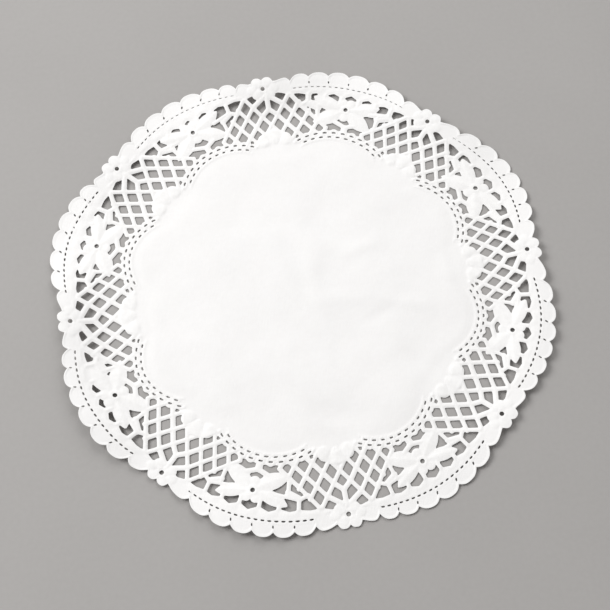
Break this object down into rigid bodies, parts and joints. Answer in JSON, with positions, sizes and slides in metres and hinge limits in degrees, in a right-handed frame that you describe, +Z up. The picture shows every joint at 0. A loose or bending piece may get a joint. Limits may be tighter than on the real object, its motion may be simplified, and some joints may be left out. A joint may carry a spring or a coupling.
{
  "type": "paper lace doily",
  "caption": "Round white paper doily with a plain flat middle, a die-cut and embossed border of lattice and flowers, and a scalloped rim; lies under a cake, plate or vase.",
  "frame": {"origin": "centre of the doily on its underside, where it touches the table", "axes": "+Z up out of the face; +Y from the centre through the small rim flower where the rim lifts second most (about 4.4 mm); +X to the right of that, so the eight repeats run clockwise from +Y towards +X"},
  "size_m": [0.2488, 0.2494, 0.006],
  "materials": {
    "paper": "matte, embossed"
  },
  "bodies": {
    "root": {"doily": "paper"}
  },
  "joints": []
}
